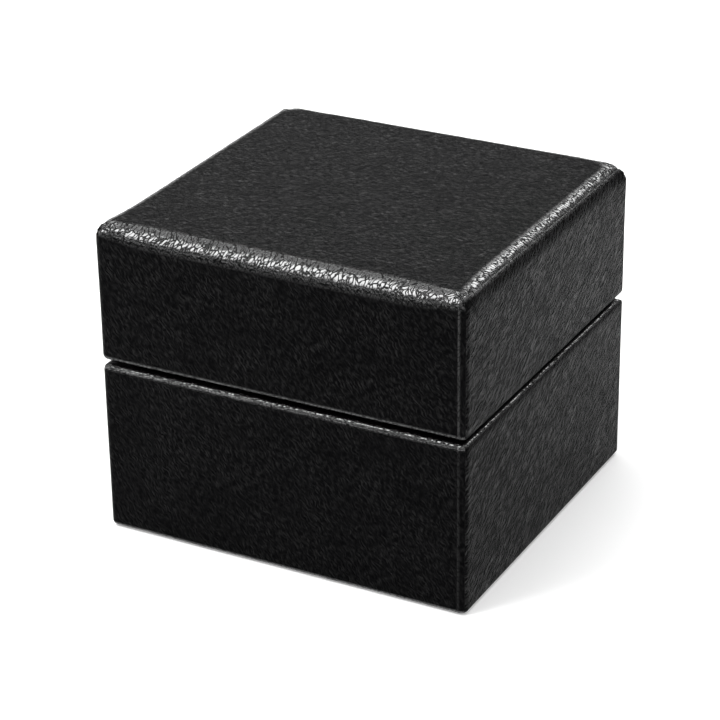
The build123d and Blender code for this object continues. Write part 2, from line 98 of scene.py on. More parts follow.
class Bench:
    """Adds and links the nodes of one material."""

    def __init__(self, name: str) -> None:
        """Starts an empty material.

        Args:
            name: The finish's name.
        """
        self.material = bpy.data.materials.new(name)
        self.material.use_nodes = True
        self.tree = self.material.node_tree
        self.tree.nodes.clear()

    def add(self, kind: str, inputs: Optional[dict] = None, **settings: Any) -> bpy.types.Node:
        """Adds a node.

        Args:
            kind: The node's type, without its "ShaderNode" prefix.
            inputs: Values or source sockets, by input name or index.
            settings: The node's own properties.

        Returns:
            The new node.
        """
        node = self.tree.nodes.new("ShaderNode" + kind)
        for name, value in settings.items():
            setattr(node, name, value)
        for key, value in (inputs or {}).items():
            if isinstance(value, bpy.types.NodeSocket):
                self.tree.links.new(value, node.inputs[key])
            else:
                node.inputs[key].default_value = value
        return node

    def math(self, operation: str, *values: Any) -> Socket:
        """Returns the result of a Math node on values or sockets."""
        return self.add("Math", dict(enumerate(values)), operation=operation).outputs[0]

    def attribute(self, name: str, output: str = "Fac") -> Socket:
        """Returns what a piece's mesh holds under a name."""
        return self.add("Attribute", attribute_name=name).outputs[output]

    def noise(self, place: Socket, scale: float, detail: float = 3.0) -> Socket:
        """Returns a cloudy noise over a place."""
        return self.add("TexNoise", {"Vector": place, "Scale": scale, "Detail": detail}).outputs[0]

    def ramp(self, source: Socket, low: float, high: float,
             bottom: float = 0.0, top: float = 1.0) -> Socket:
        """Returns source eased from the span low..high to the span bottom..top."""
        node = self.add(
            "MapRange",
            {"Value": source, "From Min": low, "From Max": high, "To Min": bottom, "To Max": top},
            interpolation_type="SMOOTHSTEP",
        )
        return node.outputs["Result"]

    def blend(self, share: Socket, bottom: Colour, top: Colour) -> Socket:
        """Returns the colour between bottom, at a share of 0, and top, at 1."""
        return self.add("Mix", {0: share, 6: bottom, 7: top}, data_type="RGBA").outputs[2]

    def bent(self, place: Socket, drift: Socket, amount: float) -> Socket:
        """Returns a place moved by an amount of a drift."""
        parts = {0: drift, 1: (amount,) * 3, 2: place}
        return self.add("VectorMath", parts, operation="MULTIPLY_ADD").outputs[0]

    def turned(self, source: Socket, angle: float, scale: tuple[float, float]) -> Socket:
        """Returns coordinates turned about Z by an angle in degrees and then scaled."""
        turn = self.add("Mapping", {"Vector": source, "Rotation": (0, 0, math.radians(angle))})
        return self.add("Mapping", {"Vector": turn.outputs[0], "Scale": (*scale, 1.0)}).outputs[0]

    def millimetres(self, scale: tuple[float, float, float] = (1.0, 1.0, 1.0)) -> Socket:
        """Returns the piece's own coordinates in millimetres, stretched by a scale."""
        place = self.add("TexCoord").outputs["Object"]
        return self.add(
            "Mapping", {"Vector": place, "Scale": tuple(part / MM for part in scale)},
        ).outputs[0]

    def bump(self, height: Socket, strength: float, depth_mm: float) -> Socket:
        """Returns the normal of a relief whose height of 1 stands for a depth in millimetres."""
        parts = {"Height": height, "Strength": strength, "Distance": depth_mm * MM}
        return self.add("Bump", parts).outputs[0]

    def surface(self, inputs: dict) -> bpy.types.Material:
        """Closes the material with its main shader.

        Args:
            inputs: The shader's values or source sockets.

        Returns:
            The finished material.
        """
        shader = self.add("BsdfPrincipled", inputs)
        self.add("OutputMaterial", {"Surface": shader.outputs[0]})
        return self.material


@dataclass(frozen=True)
class LeatherFinish:
    """Black coated leather: slanting streaks on the flats and a glossy crackle on the rolls.

    It reads what a wrap writes on its skin: the coordinates on the flat sheet, and how far a point
    belongs to a side, a rolled edge, the right flank or the calm strip under the flank's roll.
    """

    name: str = "black_leather_grain"
    tone: Colour = (0.0010, 0.0010, 0.0012, 1)
    # painted sheen: a lighter base colour on the grain's crests stands in for the streaks'
    # reflections
    crest_sheen_tone: Colour = (0.0034, 0.0033, 0.0034, 1)
    roughness: float = 0.27
    specular: float = 0.012
    polish_roughness: float = 0.17
    polish_ior: float = 2.0
    streak_polish: float = 0.075
    crease_polish: float = 0.15
    top_strength: float = 2.0
    side_strength: float = 1.05
    flank_strength: float = 2.45
    calm_strength: float = 0.15
    drift_per_mm: float = 0.5
    cell_drift_mm: float = 1.6
    cell_slant: float = 24.0
    cells_per_mm: tuple[float, float] = (1.15, 0.5)
    crease_share: float = 0.14
    crease_mm: float = 0.12
    streak_drift_mm: float = 1.8
    top_slant: float = 8.0
    top_streaks_per_mm: tuple[float, float] = (0.55, 2.3)
    side_slant: float = 56.0
    side_streaks_per_mm: tuple[float, float] = (0.6, 2.4)
    flank_stretch: float = 0.3
    flank_depth: float = 2.0
    edge_smoothing: float = 0.93
    streak_mm: float = 0.24
    fine_per_mm: float = 4.5
    fine_mm: float = 0.008
    patches_per_mm: float = 0.11

    def crackle(self, bench: Bench, place: Socket) -> Socket:
        """Returns the cells between the creases that cross the rolls, from 0 in a crease to 1."""
        cells = bench.add(
            "TexVoronoi",
            {"Vector": bench.turned(place, self.cell_slant, self.cells_per_mm), "Scale": 1.0},
            feature="DISTANCE_TO_EDGE",
        ).outputs["Distance"]
        return bench.ramp(cells, 0.0, self.crease_share)

    def streaks(self, bench: Bench, place: Socket, skin: dict[str, Socket]) -> Socket:
        """Returns the long grain: across the top, slanting on the sides, coarser on the flank."""
        stretch = bench.math("MULTIPLY_ADD", skin["flank"], -self.flank_stretch, 1.0)
        coarser = bench.add(
            "VectorMath", {0: place, "Scale": stretch}, operation="SCALE",
        ).outputs[0]
        on_top = bench.noise(bench.turned(place, self.top_slant, self.top_streaks_per_mm), 1.0)
        on_side = bench.noise(
            bench.turned(coarser, self.side_slant, self.side_streaks_per_mm), 1.0,
        )
        return bench.add("Mix", {0: skin["side"], 2: on_top, 3: on_side}).outputs[0]

    def relief(self, bench: Bench, sheet: Socket, streaks: Socket, cells: Socket,
               skin: dict[str, Socket]) -> Socket:
        """Returns the grain's height in millimetres.

        Args:
            bench: The material's bench.
            sheet: The coordinates on the flat sheet.
            streaks: The long grain.
            cells: The crackle's cells.
            skin: The shares that the wrap writes on its skin, by name.

        Returns:
            The sum of the creases on the rolls, the long grain and a fine grain.
        """
        on_rolls = bench.math("MULTIPLY", cells, bench.ramp(skin["edge"], 0.5, 1.0))
        creases = bench.math("MULTIPLY", on_rolls, self.crease_mm)
        less_on_rolls = bench.math(
            "MULTIPLY_ADD", skin["edge"], -self.edge_smoothing * self.streak_mm, self.streak_mm,
        )
        depth = bench.math(
            "MULTIPLY_ADD", skin["flank"], self.flank_depth * self.streak_mm, less_on_rolls,
        )
        coarse = bench.math("ADD", creases, bench.math("MULTIPLY", streaks, depth))
        fine = bench.noise(sheet, self.fine_per_mm)
        return bench.math("ADD", coarse, bench.math("MULTIPLY", fine, self.fine_mm))

    def polish(self, bench: Bench, crests: Socket, cells: Socket,
               skin: dict[str, Socket]) -> Socket:
        """Returns the gloss of the coat: full on the rolls' cells, slight on the streaks' crests.

        Args:
            bench: The material's bench.
            crests: Where the long grain stands up.
            cells: The crackle's cells.
            skin: The shares that the wrap writes on its skin, by name.

        Returns:
            The coat's weight.
        """
        less = self.side_strength - self.top_strength
        from_top = bench.math("MULTIPLY_ADD", skin["side"], less, self.top_strength)
        strength = bench.math(
            "MULTIPLY",
            bench.math("MULTIPLY_ADD", skin["flank"], self.flank_strength, from_top),
            bench.math("MULTIPLY_ADD", skin["calm"], self.calm_strength - 1.0, 1.0),
        )
        glossy = bench.ramp(cells, 0.0, 0.9, self.crease_polish, 1.0)
        return bench.math(
            "MAXIMUM",
            bench.math("MULTIPLY", skin["edge"], glossy),
            bench.math("MULTIPLY", bench.math("MULTIPLY", crests, strength), self.streak_polish),
        )

    def material(self) -> bpy.types.Material:
        """Returns the material, which reads the wrap's own sheet coordinates."""
        bench = Bench(self.name)
        sheet, grain = bench.attribute("sheet", "Vector"), bench.attribute("grain", "Vector")
        skin = {name: bench.attribute(name) for name in Wrap.SHARES}
        drift = bench.add(
            "TexNoise", {"Vector": sheet, "Scale": self.drift_per_mm, "Detail": 2.0},
        ).outputs["Color"]
        cells = self.crackle(bench, bench.bent(grain, drift, self.cell_drift_mm))
        streaks = self.streaks(bench, bench.bent(sheet, drift, self.streak_drift_mm), skin)
        lively = bench.ramp(bench.noise(sheet, self.patches_per_mm), 0.35, 0.65, 0.6, 1.0)
        crests = bench.math("MULTIPLY", bench.ramp(streaks, 0.42, 0.72), lively)
        normal = bench.bump(self.relief(bench, sheet, streaks, cells, skin), 1.0, 1.0)
        return bench.surface({
            # the base colour is lighter on the grain's crests, a painted sheen in place of
            # reflected light
            "Base Color": bench.blend(crests, self.tone, self.crest_sheen_tone),
            "Roughness": self.roughness,
            "Specular IOR Level": self.specular,
            "Coat Weight": self.polish(bench, crests, cells, skin),
            "Coat Roughness": self.polish_roughness,
            "Coat IOR": self.polish_ior,
            "Normal": normal,
            "Coat Normal": normal,
        })


@dataclass(frozen=True)
class NapFinish:
    """A short brushed nap, as on suede or flock: soft blotches and a fine fibre."""

    name: str
    tone: Colour
    shade: Colour
    fibre_per_mm: float = 5.0
    blotch_per_mm: float = 0.12
    fibre_share: float = 0.45
    nap_mm: float = 0.05
    sheen: float = 0.35
    roughness: float = 0.9

    def material(self) -> bpy.types.Material:
        """Returns the material, patterned on the piece's own coordinates."""
        bench = Bench(self.name)
        place = bench.millimetres()
        fibre = bench.noise(place, self.fibre_per_mm, 4.0)
        blotch = bench.noise(place, self.blotch_per_mm)
        mixed = bench.math(
            "ADD",
            bench.math("MULTIPLY", fibre, self.fibre_share),
            bench.math("MULTIPLY", blotch, 1 - self.fibre_share),
        )
        return bench.surface({
            "Base Color": bench.blend(bench.ramp(mixed, 0.36, 0.62), self.shade, self.tone),
            "Roughness": self.roughness,
            "Specular IOR Level": 0.15,
            "Sheen Weight": self.sheen,
            "Sheen Roughness": 0.45,
            "Normal": bench.bump(fibre, 0.7, self.nap_mm),
        })


@dataclass(frozen=True)
class BoardFinish:
    """Pressed board, card or foam: a matt body with flecks of fibre or open cells."""

    name: str
    tone: Colour
    fleck: Colour
    fleck_per_mm: float = 1.6
    cell_depth: float = 0.5
    grain_mm: float = 0.05
    roughness: float = 0.8

    def material(self) -> bpy.types.Material:
        """Returns the material, patterned on the piece's own coordinates."""
        bench = Bench(self.name)
        place = bench.millimetres()
        fibre = bench.noise(place, self.fleck_per_mm, 5.0)
        cells = bench.add(
            "TexVoronoi", {"Vector": place, "Scale": self.fleck_per_mm * 2},
        ).outputs["Distance"]
        height = bench.math("ADD", fibre, bench.math("MULTIPLY", cells, self.cell_depth))
        return bench.surface({
            "Base Color": bench.blend(bench.ramp(fibre, 0.42, 0.68), self.tone, self.fleck),
            "Roughness": self.roughness,
            "Specular IOR Level": 0.25,
            "Normal": bench.bump(height, 0.6, self.grain_mm),
        })


@dataclass(frozen=True)
class SteelFinish:
    """Plated steel with a fine brushed grain along the hinge axis."""

    name: str
    tone: Colour
    roughness: float = 0.28
    brush_per_mm: tuple[float, float, float] = (0.6, 9.0, 9.0)
    brush_mm: float = 0.006

    def material(self) -> bpy.types.Material:
        """Returns the material, brushed along the piece's own X."""
        bench = Bench(self.name)
        brush = bench.noise(bench.millimetres(self.brush_per_mm), 1.0)
        smoothest, roughest = self.roughness - 0.06, self.roughness + 0.12
        return bench.surface({
            "Base Color": self.tone,
            "Metallic": 1.0,
            "Roughness": bench.ramp(brush, 0.3, 0.7, smoothest, roughest),
            "Normal": bench.bump(brush, 0.5, self.brush_mm),
        })


@dataclass(frozen=True)
class FloorFinish:
    """A plain pale studio floor."""

    name: str = "studio_floor"
    tone: Colour = (0.92, 0.92, 0.92, 1)
    glow: float = 0.2

    def material(self) -> bpy.types.Material:
        """Returns the matt floor material, with a slight glow that keeps the paper white."""
        return Bench(self.name).surface({
            "Base Color": self.tone,
            "Roughness": 0.9,
            "Specular IOR Level": 0.1,
            "Emission Color": (1, 1, 1, 1),
            "Emission Strength": self.glow,
        })


def place_mesh(bm: bmesh.types.BMesh, name: str) -> bpy.types.Object:
    """Turns a millimetre mesh, which is freed here, into an object of the scene, in metres."""
    bmesh.ops.scale(bm, vec=(MM, MM, MM), verts=bm.verts)
    mesh = bpy.data.meshes.new(name)
    bm.to_mesh(mesh)
    bm.free()
    placed = bpy.data.objects.new(name, mesh)
    bpy.context.scene.collection.objects.link(placed)
    return placed


def finish_piece(bm: bmesh.types.BMesh, name: str, body: Body,
                 material: bpy.types.Material, replaces: Sequence[str],
                 smooth_angle: float = 40.0) -> bpy.types.Object:
    """Turns a millimetre mesh into a piece of the object.

    Args:
        bm: The shape, in millimetres; it is freed here.
        name: The piece's name.
        body: The body that it rides on.
        material: Its finish.
        replaces: The CAD nodes that it stands for.
        smooth_angle: Edges sharper than this, in degrees, stay crisp.

    Returns:
        The new object.
    """
    piece = place_mesh(bm, name)
    mesh = piece.data
    mesh.polygons.foreach_set("use_smooth", [True] * len(mesh.polygons))
    mesh.set_sharp_from_angle(angle=math.radians(smooth_angle))
    mesh.materials.append(material)
    if replaces:
        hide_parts(*replaces)
    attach(piece, body.value)
    log.info("%s: %d faces on %s", name, len(mesh.polygons), body.value)
    return piece


def split_along(bm: bmesh.types.BMesh, axis: int, parts: int) -> None:
    """Divides every edge that runs along an axis into equal parts, with faces between them."""
    edges = [
        edge for edge in bm.edges
        if abs((edge.verts[0].co - edge.verts[1].co)[axis]) > 1.0
    ]
    bmesh.ops.subdivide_edges(bm, edges=edges, cuts=parts - 1, use_grid_fill=True)


def dense_cube(parts: tuple[int, int, int]) -> bmesh.types.BMesh:
    """Returns a cube from -1 to 1 whose faces are divided into the parts given for each axis."""
    bm = bmesh.new()
    bmesh.ops.create_cube(bm, size=2.0)
    for axis, count in enumerate(parts):
        split_along(bm, axis, count)
    return bm


@dataclass(frozen=True)
class GridLines:
    """Where the lines of a dense cube lie along one axis: close together near its ends."""

    low: float
    high: float
    parts: int
    low_zones: tuple[tuple[int, float], ...]
    high_zones: tuple[tuple[int, float], ...]

    def places(self) -> list[float]:
        """Returns the place of every line, from low to high.

        A zone is a count of lines and the width that they share, counted inwards.
        """
        rising = [self.low]
        for count, width in self.low_zones:
            start = rising[-1]
            rising += [start + width * (step + 1) / count for step in range(count)]
        falling = [self.high]
        for count, width in self.high_zones:
            start = falling[-1]
            falling += [start - width * (step + 1) / count for step in range(count)]
        middle = self.parts - (len(rising) - 1) - (len(falling) - 1)
        gap = (falling[-1] - rising[-1]) / middle
        between = [rising[-1] + gap * (step + 1) for step in range(middle - 1)]
        return rising + between + falling[::-1]


@dataclass(frozen=True)
class SkinPoint:
    """A grid point of a wrap, and how far the skin's roll has turned there, in radians."""

    x: float
    y: float
    z: float
    on_end: bool
    near_closed: bool
    by_side: bool
    inset: float
    distance: float
    radius: float
    angle: float

    @property
    def on_roll(self) -> bool:
        """Whether the point lies on a roll, and not on a flat."""
        return self.distance < self.radius

    @property
    def on_flank(self) -> bool:
        """Whether the point lies on the right wall."""
        return self.by_side and not self.on_end and self.x > 0


@dataclass(frozen=True)
class CornerFold:
    """The folded edge beside a wrap's front right corner and the one opposite, in millimetres."""

    from_corner: float = 2.0
    on_wall: float = 0.35
    width: float = 0.28
    groove_from: float = 0.65
    groove_width: float = 0.3
    groove_share: float = 0.8

    def height(self, place: Vector, from_x: float, from_y: float) -> float:
        """Returns the fold's height, up to 1, and the groove behind it, below 0.

        Args:
            place: A point of the skin.
            from_x: How far it lies inside the wrap along X.
            from_y: How far it lies inside the wrap along Y.

        Returns:
            The height, which is 0 away from the front and the back.
        """
        if from_y > self.on_wall or place.x * place.y > 0:
            return 0.0
        across = from_x - self.from_corner
        groove = math.exp(-((across - self.groove_from) / self.groove_width) ** 2)
        return math.exp(-(across / self.width) ** 2) - self.groove_share * groove


def wrinkles(sheet: Vector) -> float:
    """Returns the height, from -1 to 1, of short slanting creases at a place of the flat sheet."""
    along, across, finer = 0.42, 0.2, 2.1
    slanted = Vector((
        sheet.x * along + sheet.y * across, sheet.y * along - sheet.x * across, sheet.z,
    ))
    ridged = 1 - 2 * abs(noise.noise(slanted))
    return 0.6 * ridged + 0.4 * noise.noise(slanted * finer) - 0.3


@dataclass
class Wrap:
    """A leather skin over a box, open at one end, whose edges are rolled over.

    Sizes are in millimetres. The closed end is the lid's top or the base's foot.
    """

    VECTORS: ClassVar[tuple[str, ...]] = ("plan", "sheet", "grain")
    SHARES: ClassVar[tuple[str, ...]] = ("side", "edge", "flank", "calm")

    node: str
    name: str
    body: Body
    opening: Opening
    mouth_inset: float
    closed_roll: float
    open_roll: float
    sheet_shift: float
    wave_mm: float
    wave_size: float
    wave_seed: float
    wrinkle_mm: float
    wrinkle_line: float
    wrinkle_fade: tuple[float, float]
    seam_mm: float
    seam_polish: float
    seam: CornerFold = CornerFold()
    leather: float = 0.8
    corner: float = 1.8
    sharpest: float = 0.05
    corner_share: float = 0.0
    front_corner_share: float = 0.0
    rear_roll: float = 3.0
    turn_in: float = 9.0
    corner_fade: float = 7.0
    tight_roll: float = 5.4
    tight_reach: float = 9.0
    gloss_in: tuple[float, float] = (4.0, 26.0)
    gloss_out: tuple[float, float] = (58.0, 92.0)
    side_gloss_out: tuple[float, float] = (38.0, 60.0)
    side_turn: tuple[float, float] = (0.15, 0.75)
    calm_share: float = 0.7
    calm_reach: float = 1.6
    inner_corner: float = 0.3
    rear_corner: float = 1.0
    lining_step: int = 18
    plan_parts: int = 132
    height_parts: int = 64
    low: Vector = field(init=False)
    high: Vector = field(init=False)

    def __post_init__(self) -> None:
        """Reads the wrap's outside from its CAD node."""
        self.low, self.high = node_box(self.node)

    @property
    def half(self) -> tuple[float, float]:
        """The half width and half depth of the outside."""
        return (self.high.x - self.low.x) / 2, (self.high.y - self.low.y) / 2

    @property
    def open_z(self) -> float:
        """The height of the open end."""
        return self.high.z if self.opening is Opening.TOP else self.low.z

    @property
    def closed_z(self) -> float:
        """The height of the closed end."""
        return self.low.z if self.opening is Opening.TOP else self.high.z

    def on_outline(self, plan: tuple[float, float], inset: float,
                   corner: float) -> tuple[float, float]:
        """Places a point on the wrap's outline.

        Args:
            plan: The point's place on the unit square.
            inset: How far the outline is pulled in.
            corner: The outline's corner radius.

        Returns:
            The point's X and Y.
        """
        half_x, half_y = self.half
        x, y = plan[0] * (half_x - inset), plan[1] * (half_y - inset)
        core_x = clamp(x, -(half_x - inset - corner), half_x - inset - corner)
        core_y = clamp(y, -(half_y - inset - corner), half_y - inset - corner)
        away_x, away_y = x - core_x, y - core_y
        reach = math.hypot(away_x, away_y)
        if abs(away_x) > TINY and abs(away_y) > TINY:
            x, y = core_x + corner * away_x / reach, core_y + corner * away_y / reach
        return x, y

    def ease_rear(self, place: Vector, shrink: float) -> Vector:
        """Keeps a point within the larger rounding of the open rear edge, less shrink."""
        towards_open = self.opening.value
        centre_y = self.half[1] - self.rear_roll
        centre_z = self.open_z - towards_open * self.rear_roll
        away_y, away_z = place.y - centre_y, place.z - centre_z
        reach = math.hypot(away_y, away_z)
        limit = self.rear_roll - shrink
        if away_y > 0 and away_z * towards_open > 0 and reach > limit:
            eased_y, eased_z = away_y * limit / reach, away_z * limit / reach
            return Vector((place.x, centre_y + eased_y, centre_z + eased_z))
        return place

    def grid(self) -> tuple[list[float], list[float], list[float]]:
        """Returns the lines of the wrap along X, Y and Z."""
        half_x, half_y = self.half
        bend = self.corner + 0.3
        edge = ((7, bend), (9, self.mouth_inset - bend), (4, 2.4))
        roll_lines = ((14, self.closed_roll), (4, 3.0))
        open_lines = ((8, self.rear_roll + 0.2), (2, 1.4))
        low_lines, high_lines = (
            (roll_lines, open_lines) if self.opening is Opening.TOP else (open_lines, roll_lines)
        )
        return (
            GridLines(-half_x, half_x, self.plan_parts, edge, edge).places(),
            GridLines(-half_y, half_y, self.plan_parts, edge, edge).places(),
            GridLines(self.low.z, self.high.z, self.height_parts, low_lines, high_lines).places(),
        )

    def turn(self, distance: float, radius: float, on_wall: bool) -> float:
        """Returns how far a roll has turned, from 0 on the flat to 90 degrees on the wall."""
        share = min(distance / radius, 1.0)
        return math.radians(45 * (1 + share if on_wall else 1 - share))

    def unrolled(self, distance_in: float, radius: float) -> float:
        """Returns how far inside the outline a point of the closed face lies on the flat sheet."""
        if distance_in >= radius:
            return self.closed_roll + distance_in - radius
        return self.closed_roll * (1 - self.turn(distance_in, radius, False))

    def local_roll(self, x: float, y: float) -> float:
        """Returns the closed end's roll at a place, tighter towards the front corners."""
        from_corner = max(self.half[0] - abs(x), self.half[1] + y)
        tight = math.exp(-(from_corner / self.tight_reach) ** 2)
        less = min(self.tight_roll, self.closed_roll) - self.closed_roll
        return self.closed_roll + less * tight

    def locate(self, x: float, y: float, z: float, on_end: bool) -> SkinPoint:
        """Returns the grid point at a place of the plain box."""
        inset_x, inset_y = self.half[0] - abs(x), self.half[1] - abs(y)
        inset = min(inset_x, inset_y)
        from_closed, from_open = abs(z - self.closed_z), abs(z - self.open_z)
        near_closed = from_closed < from_open
        distance = inset if on_end else min(from_closed, from_open)
        radius = self.local_roll(x, y) if near_closed else self.open_roll
        angle = 0.0 if on_end else math.pi / 2
        if distance < radius:
            angle = self.turn(distance, radius, not on_end)
        by_side = inset_x < inset_y
        return SkinPoint(x, y, z, on_end, near_closed, by_side, inset, distance, radius, angle)

    def on_square(self, point: SkinPoint) -> tuple[float, float]:
        """Returns a point's place on the unit square, which the rings of the lining read."""
        half_x, half_y = self.half
        return (
            point.x / max(half_x - point.inset, TINY), point.y / max(half_y - point.inset, TINY),
        )

    def drawn_over(self, point: SkinPoint) -> Vector:
        """Returns where the skin lies: rolled at both ends and rounded at the corners."""
        share = -1.0
        if point.near_closed:
            share = self.corner_share if point.y > 0 else self.front_corner_share
        if point.on_roll:
            end_z = self.closed_z if point.near_closed else self.open_z
            inwards = self.opening.value * (1 if point.near_closed else -1)
            pulled = point.radius * (1 - math.sin(point.angle))
            height = end_z + inwards * point.radius * (1 - math.cos(point.angle))
            corner = max(self.corner + share * pulled, self.sharpest)
        elif point.on_end:
            pulled, height = point.inset, point.z
            full = max(self.corner + share * point.radius, self.sharpest)
            corner = max(full * (1 - (point.inset - point.radius) / self.corner_fade), 0.0)
        else:
            pulled, height, corner = 0.0, point.z, self.corner
        x, y = point.x, point.y
        if not point.on_end or point.inset < point.radius + self.corner_fade:
            x, y = self.on_outline(self.on_square(point), pulled, corner)
        return self.ease_rear(Vector((x, y, height)), 0.0)

    def laid_flat(self, point: SkinPoint) -> tuple[float, float]:
        """Returns where a point lies on the flat sheet, from the middle of the closed end."""
        half_x, half_y = self.half
        roll = self.local_roll(point.x, point.y)
        in_x = half_x - self.unrolled(half_x - abs(point.x), roll)
        in_y = half_y - self.unrolled(half_y - abs(point.y), roll)
        if not point.on_end:
            down = self.closed_roll * (math.pi / 2 - 1) + abs(point.z - self.closed_z) - roll
            if point.near_closed and point.on_roll:
                down = self.closed_roll * (point.angle - 1)
            if point.by_side:
                in_x = half_x + down
            else:
                in_y = half_y + down
        return math.copysign(in_x, point.x), math.copysign(in_y, point.y)

    def shares(self, point: SkinPoint) -> dict[str, float]:
        """Returns how far a point belongs to each zone of the finish.

        Args:
            point: The grid point.

        Returns:
            The share of a side, of a glossy edge, of the right flank, and of the calm strip that
            lies below an upward roll of the flank.
        """
        turned = math.degrees(point.angle)
        side = smoothstep(*self.side_turn, point.angle / (math.pi / 2))
        gloss_out = self.side_gloss_out if point.by_side else self.gloss_out
        gloss = smoothstep(*self.gloss_in, turned) * (1 - smoothstep(*gloss_out, turned))
        faces_up = point.near_closed == (self.opening is Opening.BOTTOM)
        calm_from = self.calm_share * point.radius
        calm = 1 - smoothstep(calm_from, point.radius + self.calm_reach, point.distance)
        return {
            "side": side if point.near_closed else 1.0,
            "edge": gloss if point.on_roll else 0.0,
            "flank": float(point.on_flank),
            "calm": calm if point.on_flank and faces_up else 0.0,
        }

    def shape(self) -> bmesh.types.BMesh:
        """Returns the outside as a dense form with an open mouth and its zones written on it."""
        parts = (self.plan_parts, self.plan_parts, self.height_parts)
        bm = dense_cube(parts)
        layers = {name: bm.verts.layers.float_vector.new(name) for name in self.VECTORS}
        layers |= {name: bm.verts.layers.float.new(name) for name in self.SHARES}
        lines = self.grid()
        towards_open = self.opening.value
        for vert in bm.verts:
            steps = [round((place + 1) / 2 * count) for place, count in zip(vert.co, parts)]
            x, y, z = (line[step] for line, step in zip(lines, steps))
            point = self.locate(x, y, z, steps[2] in (0, self.height_parts))
            sheet_x, sheet_y = self.laid_flat(point)
            grain = (sheet_y, sheet_x) if point.by_side else (sheet_x, sheet_y)
            vert.co = self.drawn_over(point)
            vert[layers["plan"]] = Vector((*self.on_square(point), 0))
            vert[layers["sheet"]] = Vector((sheet_x, -towards_open * sheet_y, self.sheet_shift))
            vert[layers["grain"]] = Vector((*grain, self.sheet_shift))
            for name, share in self.shares(point).items():
                vert[layers[name]] = share
        self.open_mouth(bm)
        return bm

    def open_mouth(self, bm: bmesh.types.BMesh) -> None:
        """Takes the faces within the mouth away."""
        half_x, half_y = self.half
        mouth = self.mouth_inset - NEAR_MM
        waste = [
            face for face in bm.faces
            if all(
                abs(vert.co.z - self.open_z) < NEAR_MM
                and min(half_x - abs(vert.co.x), half_y - abs(vert.co.y)) > mouth
                for vert in face.verts
            )
        ]
        bmesh.ops.delete(bm, geom=waste, context="FACES")

    def ring(self, bm: bmesh.types.BMesh, edges: list, inset: float, height: float,
             corner: float, shrink: float) -> list:
        """Draws the open edge on to a further ring.

        Args:
            bm: The wrap's mesh.
            edges: The present open edge.
            inset: The new ring's inset from the outside.
            height: The new ring's height.
            corner: The new ring's corner radius.
            shrink: How far inside the rear rounding the ring stays.

        Returns:
            The new open edge.
        """
        plan_layer = bm.verts.layers.float_vector["plan"]
        made = bmesh.ops.extrude_edge_only(bm, edges=edges)["geom"]
        verts = {item for item in made if isinstance(item, bmesh.types.BMVert)}
        for vert in verts:
            x, y = self.on_outline(tuple(vert[plan_layer])[:2], inset, corner)
            vert.co = self.ease_rear(Vector((x, y, height)), shrink)
        return [
            item for item in made
            if isinstance(item, bmesh.types.BMEdge) and all(vert in verts for vert in item.verts)
        ]

    def line(self, bm: bmesh.types.BMesh) -> None:
        """Gives the skin its turned-in hem and its inner side."""
        edges = [edge for edge in bm.edges if edge.is_boundary]
        inwards = -self.opening.value
        hem = self.open_z + inwards * self.turn_in
        face_inset = self.mouth_inset - self.leather
        rim = self.open_z + inwards * self.leather
        edges = self.ring(bm, edges, self.mouth_inset, hem, 0.0, 0.0)
        edges = self.ring(bm, edges, face_inset, hem, 0.0, 0.0)
        edges = self.ring(bm, edges, face_inset, rim, 0.0, 0.0)
        edges = self.ring(bm, edges, self.leather, rim, self.inner_corner, self.leather)
        wall = self.open_z + inwards * (self.rear_roll + 1)
        edges = self.ring(bm, edges, self.leather, wall, self.rear_corner, self.leather)
        radius = self.closed_roll - self.leather
        for degrees in range(90, -1, -self.lining_step):
            angle = math.radians(degrees)
            pulled = radius * (1 - math.sin(angle))
            height = self.closed_z - inwards * (self.leather + radius * (1 - math.cos(angle)))
            corner = self.corner - self.leather + self.corner_share * pulled
            corner = max(corner, self.inner_corner)
            edges = self.ring(bm, edges, self.leather + pulled, height, corner, self.leather)
        bmesh.ops.contextual_create(bm, geom=edges)

    def gather(self, place: Vector, edge: float) -> float:
        """Returns how far gathers and mitres push the skin; a plain wrap has none."""
        return 0.0

    def crease(self, bm: bmesh.types.BMesh) -> None:
        """Moves the skin in and out: soft waves, wrinkled edges, gathers and folds."""
        bm.normal_update()
        sheet_layer = bm.verts.layers.float_vector["sheet"]
        edge_layer = bm.verts.layers.float["edge"]
        half_x, half_y = self.half
        moves = {}
        for vert in bm.verts:
            place, sheet = vert.co, vert[sheet_layer]
            wave = noise.noise(Vector((sheet.x, sheet.y, self.wave_seed)) / self.wave_size)
            from_x, from_y = half_x - abs(place.x), half_y - abs(place.y)
            inset, below = min(from_x, from_y), self.high.z - place.z
            off_line = abs(inset - self.wrinkle_line) + abs(below - self.wrinkle_line)
            near_edge = 1 - smoothstep(*self.wrinkle_fade, off_line)
            push = self.wave_mm * wave
            if near_edge > 0:
                push += self.wrinkle_mm * near_edge * wrinkles(sheet)
            push += self.gather(place, vert[edge_layer])
            fold = self.seam.height(place, from_x, from_y)
            push += self.seam_mm * fold
            vert[edge_layer] = max(vert[edge_layer], self.seam_polish * fold)
            moves[vert] = vert.normal * push
        for vert, move in moves.items():
            if self.opening is Opening.BOTTOM or vert.co.z > self.low.z + NEAR_MM:
                vert.co += move

    def build(self, material: bpy.types.Material) -> bpy.types.Object:
        """Models the wrap and puts it in place of its CAD node."""
        bm = self.shape()
        self.crease(bm)
        self.line(bm)
        bmesh.ops.recalc_face_normals(bm, faces=bm.faces)
        piece = finish_piece(bm, self.name, self.body, material, [self.node])
        HingeNotches().cut(piece, -self.opening.value, self.mouth_inset)
        return piece


